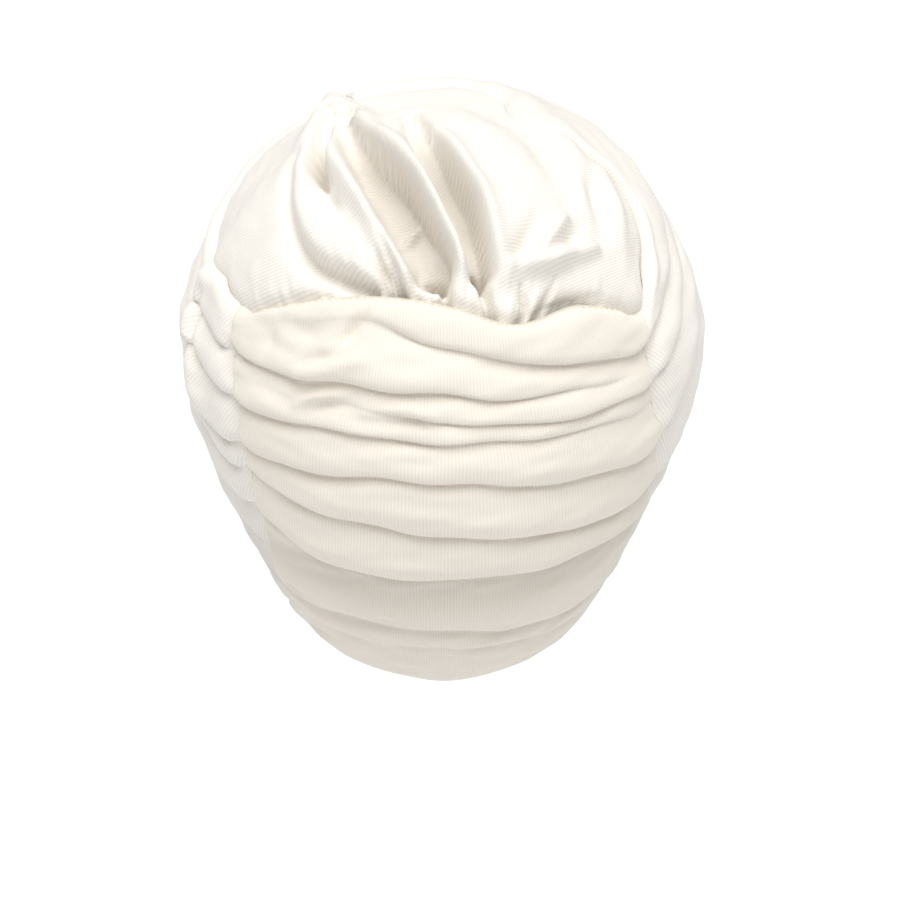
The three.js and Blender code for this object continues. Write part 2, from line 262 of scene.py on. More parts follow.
def cloth_wall(name, points, across, along, painted_shade, material):
    """A solid wall from a net of points in mm. across and along are the UV map's mm."""
    rows, columns = points.shape[:2]
    index = np.arange(rows * columns).reshape(rows, columns)
    corners = [index[:-1, :-1], index[:-1, 1:], index[1:, 1:], index[1:, :-1]]
    quads = np.stack([corner.ravel() for corner in corners], -1)
    flat = points.reshape(-1, 3)
    spread = np.cross(flat[quads[:, 2]] - flat[quads[:, 0]], flat[quads[:, 3]] - flat[quads[:, 1]])
    middle = flat[quads].mean(1)
    outwards = (spread * (middle - HEAD_MIDDLE)).sum()
    if outwards < 0:
        quads = quads[:, ::-1]
    mesh = bpy.data.meshes.new(name)
    mesh.from_pydata((flat * MM).tolist(), [], quads.tolist())
    map_of_cloth = np.stack([across.ravel(), along.ravel()], -1)[quads.ravel()]
    mesh.uv_layers.new(name="cloth_mm").data.foreach_set("uv", map_of_cloth.ravel())
    # The mask of painted shade: how much the jersey greys the cloth at each point.
    mesh.attributes.new("painted_shade_mask", "FLOAT", "POINT").data.foreach_set("value", painted_shade.ravel())
    mesh.materials.append(material)
    mesh.shade_smooth()
    piece = bpy.data.objects.new(name, mesh)
    bpy.context.collection.objects.link(piece)
    thick = piece.modifiers.new("thickness of the jersey", "SOLIDIFY")
    thick.thickness = CLOTH * MM
    thick.offset = -1
    finished = bpy.data.meshes.new_from_object(
        piece.evaluated_get(bpy.context.evaluated_depsgraph_get())
    )
    piece.modifiers.clear()
    piece.data = finished
    triangles = sum(len(face.vertices) - 2 for face in finished.polygons)
    area = sum(face.area for face in mesh.polygons)
    print(f"{name}: {rows} x {columns} points, {triangles} triangles, {area:.4f} m2 of cloth")
    return piece


# %% [markdown]
# ## Fine rib jersey
# The cloth is a soft jersey knitted in fine ribs, ivory and matt, such as one of viscose.
# Each rib is a rounded wale, and the yarn's fuzz catches the light at grazing angles, which
# the sheen gives. The narrow shadow beside each wale is partly bump and partly painted
# shade: the grooves take a darker ivory. The ribs are too fine to model, so they are bump,
# read from the UV map in millimetres: one wale every 1.2 to 1.5 mm. Deep hollows and the
# lower parts of the panels are painted greyer, as painted shade.

# %% Colours and nodes
FACE_IVORY = "#F4EDE0"
# Painted shade: the darker ivory of the grooves between the wales.
GROOVE_SHADE_IVORY = "#EAE1D2"
# Painted light: the crown and wraps are the band's cloth, painted paler for the brighter light on them.
PAINTED_LIGHT_IVORY = "#F6F2EA"
THREAD_IVORY = "#EFE7D6"
# Painted shade: a grey multiplied into the cloth in deep hollows and low down.
PAINTED_SHADE_GREY = "#DBD9D6"
FLOOR_WHITE = "#F5F5F6"
SKY_COOL = "#F5F7FF"


def linear(hex_colour):
    """An sRGB hex colour as Blender's linear red, green, blue and alpha."""
    channels = [int(hex_colour[i:i + 2], 16) / 255 for i in (1, 3, 5)]
    return [c / 12.92 if c <= 0.04045 else ((c + 0.055) / 1.055) ** 2.4 for c in channels] + [1]


def add_node(tree, kind, settings=None, inputs=None):
    """Adds a node, sets its settings, and sets or links each of its inputs."""
    node = tree.nodes.new(kind)
    for name, value in (settings or {}).items():
        setattr(node, name, value)
    for key, value in (inputs or {}).items():
        if isinstance(value, bpy.types.NodeSocket):
            tree.links.new(value, node.inputs[key])
        else:
            node.inputs[key].default_value = value
    return node


def new_material(name):
    material = bpy.data.materials.new(name)
    material.use_nodes = True
    material.node_tree.nodes.clear()
    return material, material.node_tree


# %% The jersey's material
def rib_jersey(name, wale, relief_mm, face):
    """Matt rib knit. wale is the width of one rib in mm, relief_mm its height, face its colour."""
    material, tree = new_material(name)
    cloth = add_node(tree, "ShaderNodeUVMap", {"uv_map": "cloth_mm"}).outputs["UV"]
    place = add_node(tree, "ShaderNodeTexCoord").outputs["Object"]
    sway = add_node(tree, "ShaderNodeTexNoise", {"noise_dimensions": "3D"},
                    {"Vector": place, "Scale": 60, "Detail": 2}).outputs["Fac"]
    parts = add_node(tree, "ShaderNodeSeparateXYZ", inputs={0: cloth})
    # The wales wander by up to a third of a millimetre, as knitted ones do.
    wandering = add_node(tree, "ShaderNodeMath", {"operation": "MULTIPLY_ADD"},
                         {0: sway, 1: 0.7, 2: parts.outputs["X"]}).outputs[0]
    turns = add_node(tree, "ShaderNodeMath", {"operation": "MULTIPLY"},
                     {0: wandering, 1: math.pi / wale}).outputs[0]
    wave = add_node(tree, "ShaderNodeMath", {"operation": "SINE"}, {0: turns}).outputs[0]
    hump = add_node(tree, "ShaderNodeMath", {"operation": "ABSOLUTE"}, {0: wave}).outputs[0]
    rib = add_node(tree, "ShaderNodeMath", {"operation": "POWER"}, {0: hump, 1: 0.6}).outputs[0]
    fuzz = add_node(tree, "ShaderNodeTexNoise", {"noise_dimensions": "3D"},
                    {"Vector": place, "Scale": 1400, "Detail": 3}).outputs["Fac"]
    relief = add_node(tree, "ShaderNodeMath", {"operation": "MULTIPLY_ADD"},
                      {0: fuzz, 1: 0.35, 2: rib}).outputs[0]
    bump = add_node(tree, "ShaderNodeBump", inputs={
        "Strength": 0.5, "Distance": relief_mm * MM, "Height": relief}).outputs["Normal"]
    # Painted shade: the grooves between the wales take the darker ivory.
    knit = add_node(tree, "ShaderNodeMix", {"data_type": "RGBA"}, {
        "Factor": rib, 6: linear(GROOVE_SHADE_IVORY), 7: linear(face)}).outputs[2]
    patch = add_node(tree, "ShaderNodeTexNoise", {"noise_dimensions": "3D"},
                     {"Vector": place, "Scale": 22, "Detail": 3}).outputs["Fac"]
    shade = add_node(tree, "ShaderNodeMapRange", inputs={
        "Value": patch, "From Min": 0.3, "From Max": 0.7, "To Min": 0.975, "To Max": 1.0,
    }).outputs[0]
    mottled = add_node(tree, "ShaderNodeMix", {"data_type": "RGBA", "blend_type": "MULTIPLY"},
                       {"Factor": 1, 6: knit, 7: shade}).outputs[2]
    # Painted shade: the colour is multiplied by a grey as far as the mask says.
    painted_shade = add_node(tree, "ShaderNodeAttribute", {"attribute_name": "painted_shade_mask"}).outputs["Fac"]
    colour = add_node(tree, "ShaderNodeMix", {"data_type": "RGBA", "blend_type": "MULTIPLY"},
                      {"Factor": painted_shade, 6: mottled, 7: linear(PAINTED_SHADE_GREY)}).outputs[2]
    shader = add_node(tree, "ShaderNodeBsdfPrincipled", inputs={
        "Base Color": colour, "Normal": bump, "Roughness": 0.9, "Specular IOR Level": 0.25,
        "Sheen Weight": 0.2, "Sheen Roughness": 0.5, "Sheen Tint": linear(face),
    }).outputs[0]
    add_node(tree, "ShaderNodeOutputMaterial", inputs={"Surface": shader})
    return material


# Jersey that is stretched has wider, flatter wales. The crown is taken to be stretched most.
BAND_WALE, CROWN_WALE, WRAP_WALE = 1.2, 1.5, 1.35
BAND_RELIEF, STRETCHED_RELIEF = 0.18, 0.15
band_jersey = rib_jersey("rib jersey, wales up and down", BAND_WALE, BAND_RELIEF, FACE_IVORY)
# The crown and the wraps are painted a paler ivory: painted light.
crown_jersey = rib_jersey("rib jersey, wales across the head", CROWN_WALE, STRETCHED_RELIEF, PAINTED_LIGHT_IVORY)
wrap_jersey = rib_jersey("rib jersey, wales on the slant", WRAP_WALE, STRETCHED_RELIEF, PAINTED_LIGHT_IVORY)
print("jerseys:", band_jersey.name, "|", crown_jersey.name, "|", wrap_jersey.name)

# %% [markdown]
# ## Ruched panels
# A panel that is gathered at its sides lies in rolls: each one swells out, turns under at
# its lower lip, and rests on the crease below. The net's rows follow the creases, close
# together at the lip and wider apart above, so that the fold is sharp and the rest light.

# %% One ruched panel
# How far a full crease sinks into the form, and the mean radii that turn an angle into a
# length over the cloth: round the whole head, and over the knit.
CREASE_BITE = 1.2
GIRTH_RADIUS, KNIT_RADIUS = 100, 95


def settle(azimuth_at, height_of, guess):
    """The height at which a slanting line of the net meets an edge."""
    height = guess
    for _ in range(10):
        height = height_of(azimuth_at(height))
    return height


def close_ends(count):
    """Shares from 0 to 1, evenly spaced but with a few more close to both ends."""
    inner = np.linspace(0.016, 0.984, count)
    return np.concatenate([[0, 0.0025, 0.0055, 0.0095], inner, [0.9905, 0.9945, 0.9975, 1]])


def ruched_net(creases, start, end, columns, row_gap, overlaps, crowding, seed):
    """The net of a panel: its heights, azimuths and rises, and its distances to its edges."""
    u = close_ends(columns)
    station = u ** crowding
    mm_per_degree = 1.75
    from_sides = np.minimum(u, 1 - u) * abs(SIDES[2, end] - SIDES[2, start]) * mm_per_degree

    def azimuth_at(height):
        return lerp(look_up(SIDES, start, height), look_up(SIDES, end, height), u)

    def top_at(azimuth):
        return height_at_level(crown_edge_level(azimuth, -all_round(overlaps, azimuth)))

    top = settle(azimuth_at, top_at, 120 + 0 * u)
    hem = settle(azimuth_at, lambda a: all_round(HEM, a), -30 + 0 * u)
    lines, depths, lips, swells = [hem], [0 * u], [0], [3]
    for number, crease in enumerate(reversed(creases)):
        wobble = 0.5 * drift(u * 180, 50.0 * number, 30, seed)
        lines.append(through(crease["heights"], station) + wobble)
        depths.append(np.maximum(0, through(crease["depths"], station)))
        lips.append(crease["lip"])
        swells.append(crease["swell"])
    lines.append(top)
    depths.append(0 * u)
    heights, rises = [], []
    for roll, (low, high) in enumerate(zip(lines, lines[1:])):
        tall = high - low
        count = int(np.clip(tall.max() / row_gap, 9, 30))
        share = (np.linspace(0, 1, count, endpoint=False) ** 1.5)[:, None]
        if high is top:
            share = np.append(share, [[1.0]], 0)
        climb = share * tall
        depth, above = depths[roll], depths[roll + 1]
        fold_under = lips[roll] * depth / 5 * bell(climb - 1.5, 1.7) * (1 - bell(from_sides, 5))
        swelling = depth * (1 - np.exp(-climb / swells[roll])) * (1 - share) ** 1.3
        bite = np.minimum(1, depth / 2) * bell(climb, 1.2)
        bite_above = np.minimum(1.6, above / 2.5) * bell(tall - climb, 4.5)
        heights.append(low + climb - fold_under)
        rises.append(swelling - CREASE_BITE * (bite + bite_above))
    height, rise = np.vstack(heights), np.vstack(rises)
    azimuth = azimuth_at(height)
    from_start = np.radians(np.abs(azimuth - look_up(SIDES, start, height))) * GIRTH_RADIUS
    from_end = np.radians(np.abs(azimuth - look_up(SIDES, end, height))) * GIRTH_RADIUS
    return height, azimuth, rise, from_start, from_end, top - height, height - hem


def seam_turn(distance):
    """A sewn border sinks a little, then turns in."""
    return -0.3 * bell(distance, 5) - 1.0 * bell(distance, 0.7)


def wrinkles(azimuth, height, seed):
    """Faint slack in the cloth, drawn out along the rolls."""
    x = np.radians(azimuth) * GIRTH_RADIUS
    return 0.28 * drift(x / 3.2, height, 7, seed) + 0.3 * drift(x / 2, height, 22, seed + 1)


def along_line(x, y, row, samples=140):
    """The distance of each point from a line through four points, and the share along it."""
    shares = np.linspace(0, 1, samples)
    line = through(np.reshape(row[:8], (4, 2)), shares)
    apart = np.hypot(x[..., None] - line[:, 0], y[..., None] - line[:, 1])
    return apart.min(-1), shares[apart.argmin(-1)]


def ridges(x, y, rows):
    """The rise of soft ridges, or dents where it is less than 0, that follow lines."""
    total = np.zeros(x.shape)
    for row in rows:
        distance, share = along_line(x, y, row)
        total += through(row[9:12], share) * bell(distance, row[8])
    return total


# %% [markdown]
# ## The back band
# Nine creases cross the back of the head. The three highest fade out part of the way, where
# two rolls run together. The two lowest are soft, because the cloth there lies close to
# the neck, and a flat stretch shows above them.

# %% Make the back band
SHARP = {"lip": 2.6, "swell": 2.2}
SOFT = {"lip": 0.4, "swell": 6.0}
# Heights and depths at seven even stations, from the wearer's left seam to the right one.
BAND_CREASES = [
    {"heights": [101, 113, 120, 116, 109, 102, 96], "depths": [0, 0, 0.8, 3, 4, 4, 3], **SHARP},
    {"heights": [95, 98, 102, 101, 97, 93, 89], "depths": [3.5, 4.5, 5, 4.5, 3, 1, 0], **SHARP},
    {"heights": [87, 90, 93, 91, 88, 85, 82], "depths": [0, 0, 0.5, 3, 4, 4, 3], **SHARP},
    {"heights": [78, 83, 85, 84, 82, 78, 74], "depths": [4, 5, 5, 4.5, 4, 2, 0.5], **SHARP},
    {"heights": [61, 65, 69, 69, 64, 59, 55], "depths": [3, 4.5, 5, 5, 5, 5, 4], **SHARP},
    {"heights": [51, 50, 49, 46, 42, 36, 32], "depths": [3, 5, 6, 6, 6, 5.5, 4], **SHARP},
    {"heights": [33, 27, 26, 27, 25, 23, 16], "depths": [4, 6.5, 7, 7, 7, 6.5, 4], **SHARP},
    {"heights": [-12, -9, -5, -7, -12, -15, -16], "depths": [2, 4, 5, 5, 5, 4, 2], **SOFT},
    {"heights": [-22, -22, -19, -19, -22, -26, -26], "depths": [0, 0.5, 1.5, 2, 2, 0.5, 0], **SOFT},
]
# azimuth, how far the band reaches over the crown's border
BAND_OVERLAPS = np.array([[-70, 2.5], [-40, 1.5], [40, 1.5], [70, 2.5]], float)
# The upper rolls are also rumpled at the wearer's left. x is measured over the cloth from
# the middle of the back, and z is the height, from one end of each crumple to the other.
# x0, z0, x1, z1, x2, z2, x3, z3, half width, rises at the start, middle and end
CRUMPLES = [
    [41, 111, 38, 114, 35, 118, 32, 122, 2.4, -1.5, -3.5, -1.5],
    [55, 99, 45, 102, 38, 106, 28, 110, 2.5, 1.5, 2.4, 1],
    [54, 103, 48, 106, 42, 108, 36, 109, 2.2, -0.5, -2, -0.5],
    [50, 109, 44, 110, 38, 112, 31, 113, 2.5, 0.5, 2, 0.5],
    [62, 111, 57, 112, 52, 114, 48, 116, 3, -0.5, -1.6, -0.5],
    [73, 99, 72, 103, 71, 107, 69, 110, 3.5, -0.5, -1.6, -0.5],
    [53, 89, 47, 93, 42, 95, 34, 98, 1.8, 1, 2.4, 0.5],
    [49, 87, 44, 90, 38, 92, 31, 95, 2.2, -0.5, -2, -0.5],
    [27, 92, 14, 94, 7, 93, 1, 91, 2.2, 1.2, 2, 1.2],
    [34, 88, 22, 89, 10, 90, 2, 89, 2.2, -0.5, -2, -0.5],
]
height, azimuth, rise, from_left, from_right, from_top, from_hem = ruched_net(
    BAND_CREASES, LEFT_SEAM, RIGHT_SEAM, columns=150, row_gap=1.3, overlaps=BAND_OVERLAPS,
    crowding=1, seed=3)
corner = bell(np.minimum(from_left, from_right), 7)
rolled_top = 1.6 * bell(from_top - 5, 5) - (4.6 - 3.4 * corner) * bell(from_top, 1.8)
rise = rise + seam_turn(from_left) + seam_turn(from_right) + rolled_top
round_the_back = np.radians(azimuth) * KNIT_RADIUS
rise = rise + ridges(round_the_back, height, CRUMPLES)
rise = rise + wrinkles(azimuth, height, seed=11)
rise = rise - 0.5 * bell(from_hem, 1.2)
# The wraps take up these profiles where they are sewn to the band.
SEWN_TO = {"left": (height[:, 0], rise[:, 0]), "right": (height[:, -1], rise[:, -1])}
# Painted shade: the band is painted greyer towards the hem, and over the flat stretch above the soft
# creases.
back_band = cloth_wall(
    "back_band_cloth", lay(level_at_height(height), azimuth, rise),
    across=round_the_back, along=height,
    painted_shade=0.25 * bell(height + 20, 40) + 0.45 * bell(height - 13, 9), material=band_jersey)

# %% [markdown]
# ## The front wraps
# Each wrap starts at a side seam and runs forward. Its rolls fan out from the twist over
# the wearer's left temple, so they climb as they go round. The wearer's right wrap lies
# on top, and its free edge crosses the brow. The left one is tucked under it.

# %% Make the two wraps
# How far each wrap's free edge stands off the form, and over what share of the wrap: the
# right one lies outside. CURL is how far each wrap's top edge turns in.
LIFT = {"right": 2.0, "left": -3.6}
SPREAD = {"right": 0.16, "left": 0.3}
CURL = {"right": 4.2, "left": 2.0}
WRAP_CROWDING = 0.5
# Heights and depths at five stations from the side seam to the free edge. They are close
# together by the seam: 0, 6, 25, 56 and 100 per cent of the way.
RIGHT_CREASES = [
    {"heights": [96, 104, 121, 136, 143], "depths": [3, 4, 4.5, 4, 2], **SHARP},
    {"heights": [82, 89, 108, 126, 135], "depths": [3, 4.5, 5, 4.5, 2.5], **SHARP},
    {"heights": [55, 66, 93, 114, 126], "depths": [4, 5, 5.5, 5, 3], **SHARP},
    {"heights": [32, 40, 70, 96, 113], "depths": [4, 5, 6, 5.5, 3], **SHARP},
    {"heights": [16, 21, 44, 71, 92], "depths": [4, 4, 5, 5, 3], **SHARP},
    {"heights": [-16, -11, 10, 38, 62], "depths": [2, 2, 3, 3.5, 2], **SOFT},
]
LEFT_CREASES = [
    {"heights": [95, 94, 98, 123, 138], "depths": [3.5, 3.5, 2, 4, 0], **SHARP},
    {"heights": [78, 80, 86, 110, 127], "depths": [4, 4, 4, 4.5, 0], **SHARP},
    {"heights": [61, 60, 70, 95, 115], "depths": [3, 5, 5, 4.5, 0], **SHARP},
    {"heights": [51, 48, 57, 80, 102], "depths": [3, 3.5, 4.5, 4, 0], **SHARP},
    {"heights": [33, 32, 43, 64, 84], "depths": [4, 4.5, 5, 4.5, 0], **SHARP},
    {"heights": [9, 11, 22, 42, 62], "depths": [0, 2, 4.5, 3.5, 0], **SHARP},
    {"heights": [-12, -9, 2, 20, 34], "depths": [2, 2, 3, 2.5, 0], **SOFT},
]


# A loose fold stands off the left wrap, with a hollow behind it. The columns are those of
# the crumples in the band.
LOOSE_FOLDS = [
    [134, 108, 132, 96, 125, 81, 108, 60, 5.5, 2, 4, 2],
    [130, 99, 127, 91, 123, 84, 116, 79, 2.0, -2, -5, -2],
]
# azimuth, how far each wrap reaches over the crown's border
OVERLAPS = np.array([
    [-180, 2.5], [-150, 4], [-128, 9], [-104, 8], [-88, 4], [-60, 2.5], [60, 2.5], [80, 5],
    [110, 6], [135, 3], [180, 2.5],
], float)


def make_wrap(name, side, creases, seam, front, seed):
    height, azimuth, rise, from_seam, from_front, from_top, from_hem = ruched_net(
        creases, seam, front, columns=150, row_gap=1.5, overlaps=OVERLAPS,
        crowding=WRAP_CROWDING, seed=seed)
    share = from_front / (from_seam + from_front)
    rise = rise + LIFT[side] * bell(share, SPREAD[side]) * (0.4 + 0.6 * (1 - np.exp(-from_top / 12)))
    curl = CURL[side] * (1 - 0.7 * bell(from_seam, 7))
    rise = rise + 2.2 * bell(from_top - 4, 4) - curl * bell(from_top, 1.6)
    rise = rise + wrinkles(azimuth, height, seed) - 0.8 * bell(from_front, 1.2)
    if side == "left":
        rise = rise + ridges(np.radians(azimuth) * GIRTH_RADIUS, height, LOOSE_FOLDS)
    sewn_height, sewn_rise = SEWN_TO[side]
    order = np.argsort(sewn_height)
    sewn = np.interp(height, sewn_height[order], sewn_rise[order])
    rise = lerp(rise, sewn, bell(from_seam, 5))
    round_the_head = np.radians(np.abs(azimuth)) * KNIT_RADIUS
    # Painted shade: each wrap is painted greyer towards the hem.
    return cloth_wall(
        name, lay(level_at_height(height), azimuth, rise),
        across=0.92 * round_the_head + 0.4 * height, along=height,
        painted_shade=0.6 * bell(height + 10, 30), material=wrap_jersey)


wrap_right = make_wrap("front_wrap_right_cloth", "right", RIGHT_CREASES, RIGHT_SEAM, RIGHT_FRONT, 21)
wrap_left = make_wrap("front_wrap_left_cloth", "left", LEFT_CREASES, LEFT_SEAM, LEFT_FRONT, 31)

# %% [markdown]
# ## The crown
# The crown is drawn up from the back seam to the twist. Two broad puffs lie on either
# side of a bundle of folds, with deep narrow hollows between them. A hollow is easiest to
# tell as a trench: a line with a width and a depth, and walls that round over into the
# cloth on both sides. Soft ridges and dents need only a line, a width and a rise.

# %% Lines over the crown
# x and y are measured over the cloth from the top of the head, x to the wearer's left
# and y to the back, from the twist at the front to the seam at the back.
# x0, y0, x1, y1, x2, y2, x3, y3, half widths front middle back, depths front middle back, lip
TRENCHES = [
    [11, -9, 2, 22, -8, 48, -17, 76, 3.0, 6.0, 3.5, 8, 22, 16, 5],
    [40, -16, 28, 20, 15, 50, 3, 74, 1.5, 7.5, 8.0, 6, 18, 16, 5],
    [43, -20, 46, 2, 48, 18, 44, 34, 1.0, 3.2, 1.0, 6, 16, 3, 4],
    [-36, 92, -50, 86, -62, 79, -73, 70, 2.0, 5.0, 2.0, 1, 3.5, 1, 7],
    [26, 66, 24, 73, 22, 79, 21, 90, 0.3, 1.4, 1.4, 1, 6, 7, 3],
    [24, 60, 20, 71, 17, 82, 15, 92, 0.2, 1.4, 1.6, 1, 6, 8, 3],
    [6, 76, 0, 78, -2, 83, -2, 92, 0.4, 1.6, 1.4, 3, 8, 8, 3],
    [-15, 74, -18, 81, -20, 86, -23, 93, 1.0, 1.8, 1.4, 7, 8, 7, 3],
    [-34, 78, -36, 83, -37, 88, -35, 96, 0.4, 1.2, 1.0, 2, 5, 4, 3],
    [-49, 72, -47, 79, -45, 86, -44, 96, 0.4, 1.2, 1.0, 1, 3, 3, 3],
    [38, -20, 36, -17, 34, -14, 32, -11, 1.0, 2.0, 1.0, 4, 8, 5, 3],
]
# x0, y0, x1, y1, x2, y2, x3, y3, half width, rises front middle back
RIDGES = [
    [43, -34, 22, 10, 4, 42, -8, 72, 6, 5, 8, 6],
    [44, -20, 41, 14, 29, 46, 14, 76, 5, 4, 8, 5],
    [10, -8, -6, 24, -17, 50, -26, 76, 5, 4, 6, 3],
    [46, -28, 56, 16, 54, 48, 34, 66, 8, 4, 5, 2],
    [57, 4, 62, 36, 54, 64, 28, 82, 4, -3, -7, -9],
    [46, 36, 44, 40, 42, 43, 40, 46, 3, -2, -4, -1],
    [17, 57, 13, 53, 10, 50, 7, 47, 2.2, 2, 5, 2],
    [34, 72, 31, 76, 28, 79, 24, 82, 4, 2, 3, 2],
    [-20, -14, -34, -2, -44, 16, -52, 34, 8, -2, -5, -2],
    [-38, -12, -48, -2, -57, 16, -60, 34, 7, 1, 3, 1],
    [-30, 72, -42, 69, -52, 62, -64, 53, 3.2, 4, 7, 4],
    [-49, 46, -45, 55, -41, 62, -37, 70, 3, 4, 4, 1],
    [-38, 48, -36, 57, -34, 64, -31, 70, 4, -1, -5, -2],
    [-58, 46, -56, 51, -54, 56, -52, 60, 4, -1, -3, -1],
    [-66, 6, -70, 18, -74, 30, -78, 42, 5, 2, 4, 2],
    [-56, 10, -62, 22, -66, 32, -68, 42, 5, -1, -4, -1],
]


def crown_relief(x, y):
    relief = ridges(x, y, RIDGES)
    for row in TRENCHES:
        distance, share = along_line(x, y, row)
        half_width, depth, lip = through(row[8:11], share), through(row[11:14], share), row[14]
        out = np.clip((distance - half_width) / lip, 0, 1)
        relief -= depth * (1 - np.sqrt(1 - (1 - out) ** 2))
    return relief


# %% Make the crown
CROWN_CELLS = 176
TUCK_WIDTH = 7
# azimuth, how deep the border is tucked under its neighbours
TUCKS = np.array([
    [-180, 5], [-150, 4.5], [-126, 3.5], [-110, 5], [-92, 7], [-70, 6], [-55, 3.5], [-45, 5], [0, 6],
    [45, 4.5], [57, 2.4], [80, 3], [110, 4], [180, 5],
], float)
s, t = np.meshgrid(np.linspace(-1, 1, CROWN_CELLS + 1), np.linspace(1, -1, CROWN_CELLS + 1))
disc_x, disc_y = s * np.sqrt(1 - t * t / 2), t * np.sqrt(1 - s * s / 2)
azimuth = np.degrees(np.arctan2(disc_x, disc_y))
edge = arc_at_level(crown_edge_level(azimuth))
arc = np.minimum(1, np.hypot(disc_x, disc_y)) * (edge + TUCK_WIDTH)
x, y = arc * np.sin(np.radians(azimuth)), arc * np.cos(np.radians(azimuth))
from_edge = edge - arc
tuck = -all_round(TUCKS, azimuth) / (1 + np.exp((from_edge - 2.5) / 1.5))
relief = crown_relief(x, y)
# Painted shade: the crown is painted greyer in a hollow from 3 mm deep, and mostly past 11 mm.
hollow_painted_shade = np.clip((-relief - 3) / 8, 0, 1) * 0.85
# Small gathers run up from the back seam and die out.
behind = bell(np.minimum(np.abs(azimuth), 90), 45)
gathers = 0.9 * drift(arc * np.radians(azimuth), from_edge / 5, 4.5, 43) * np.exp(-from_edge / 16)
rise = relief + tuck + 0.15 * drift(x, y, 12, 41) + 0.8 * drift(x, y, 32, 42) + behind * gathers
# The wales cross the head, and bend forwards at the wearer's right.
slant = 0.35 * x - 0.004 * x * x
crown = cloth_wall(
    "crown_cloth", lay(level_at_arc(arc), azimuth, rise),
    across=y - slant, along=x, painted_shade=hollow_painted_shade, material=crown_jersey)

# %% [markdown]
# ## Stitches along the seams
# The panels are sewn with a fine thread, and its stitches lie in the bottom of the seams.
# They repeat along a path, so a Geometry Nodes tree makes them: it turns each seam's line
# into a curve, sets a stitch at even steps along it, and gives each a slightly different
# turn. The real stitches are about as long as these, and the thread about half as thick:
# it is drawn coarser so that it shows.

# %% The thread, and the lines of the seams
STITCH_SPACING, STITCH_LENGTH, THREAD_THICK = 2.8, 1.9, 0.34
STITCH_SIDES, STITCH_RINGS = 8, 6


def spun_thread(name):
    """Spun polyester thread, twisted, with a soft sheen."""
    material, tree = new_material(name)
    place = add_node(tree, "ShaderNodeTexCoord").outputs["Object"]
    twist = add_node(tree, "ShaderNodeTexNoise", {"noise_dimensions": "3D"},
                     {"Vector": place, "Scale": 2500, "Detail": 2}).outputs["Fac"]
    bump = add_node(tree, "ShaderNodeBump", inputs={
        "Strength": 0.4, "Distance": 0.05 * MM, "Height": twist}).outputs["Normal"]
    shader = add_node(tree, "ShaderNodeBsdfPrincipled", inputs={
        "Base Color": linear(THREAD_IVORY), "Normal": bump, "Roughness": 0.6,
        "Sheen Weight": 0.3, "Sheen Roughness": 0.4}).outputs[0]
    add_node(tree, "ShaderNodeOutputMaterial", inputs={"Surface": shader})
    return material


thread = spun_thread("spun polyester thread")
SEAM_DEPTH = -1.4


def seam_line(azimuths, levels):
    return lay(levels, azimuths, SEAM_DEPTH) * MM


def side_seam(column):
    heights = np.linspace(-30, 104, 240)
    azimuths = look_up(SIDES, column, heights)
    return seam_line(azimuths, level_at_height(heights))


# The seam between the crown and the band runs from one side seam to the other.
across_back = np.linspace(-54, 56, 240)
back_seam = seam_line(across_back, crown_edge_level(across_back))
seams = [side_seam(LEFT_SEAM), side_seam(RIGHT_SEAM), back_seam]
for name, seam in zip(["left", "right", "back"], seams):
    length = np.linalg.norm(np.diff(seam, axis=0), axis=1).sum()
    print(f"{name} seam: {length:.3f} m")


# %% The stitch tree
def stitch_tree(material):
    tree = bpy.data.node_groups.new("stitches along a line", "GeometryNodeTree")
    face = tree.interface
    face.new_socket("Geometry", in_out="INPUT", socket_type="NodeSocketGeometry")
    for name in ("Spacing", "Length", "Thickness"):
        face.new_socket(name, in_out="INPUT", socket_type="NodeSocketFloat")
    face.new_socket("Seed", in_out="INPUT", socket_type="NodeSocketInt")
    face.new_socket("Geometry", in_out="OUTPUT", socket_type="NodeSocketGeometry")
    given = add_node(tree, "NodeGroupInput").outputs
    line = add_node(tree, "GeometryNodeMeshToCurve", inputs={"Mesh": given["Geometry"]})
    steps = add_node(tree, "GeometryNodeCurveToPoints", {"mode": "LENGTH"},
                     {"Curve": line.outputs["Curve"], "Length": given["Spacing"]})
    bead = add_node(tree, "GeometryNodeMeshUVSphere", inputs={
        "Segments": STITCH_SIDES, "Rings": STITCH_RINGS, "Radius": 0.5}).outputs["Mesh"]
    size = add_node(tree, "ShaderNodeCombineXYZ", inputs={
        "X": given["Thickness"], "Y": given["Thickness"], "Z": given["Length"]}).outputs[0]
    stitch = add_node(tree, "GeometryNodeTransform", inputs={"Geometry": bead, "Scale": size})
    turn = add_node(tree, "FunctionNodeRandomValue", {"data_type": "FLOAT_VECTOR"}, {
        0: (-0.12, -0.12, 0), 1: (0.12, 0.12, 0), "Seed": given["Seed"]}).outputs[0]
    loose = add_node(tree, "FunctionNodeEulerToRotation", inputs={"Euler": turn}).outputs[0]
    facing = add_node(tree, "FunctionNodeRotateRotation", {"rotation_space": "LOCAL"}, {
        "Rotation": steps.outputs["Rotation"], "Rotate By": loose}).outputs[0]
    placed = add_node(tree, "GeometryNodeInstanceOnPoints", inputs={
        "Points": steps.outputs["Points"], "Instance": stitch.outputs["Geometry"],
        "Rotation": facing})
    solid = add_node(tree, "GeometryNodeRealizeInstances", inputs={
        "Geometry": placed.outputs["Instances"]})
    smooth = add_node(tree, "GeometryNodeSetShadeSmooth", inputs={
        "Geometry": solid.outputs["Geometry"]})
    dressed = add_node(tree, "GeometryNodeSetMaterial", inputs={
        "Geometry": smooth.outputs["Geometry"], "Material": material})
    add_node(tree, "NodeGroupOutput", inputs={"Geometry": dressed.outputs["Geometry"]})
    return tree


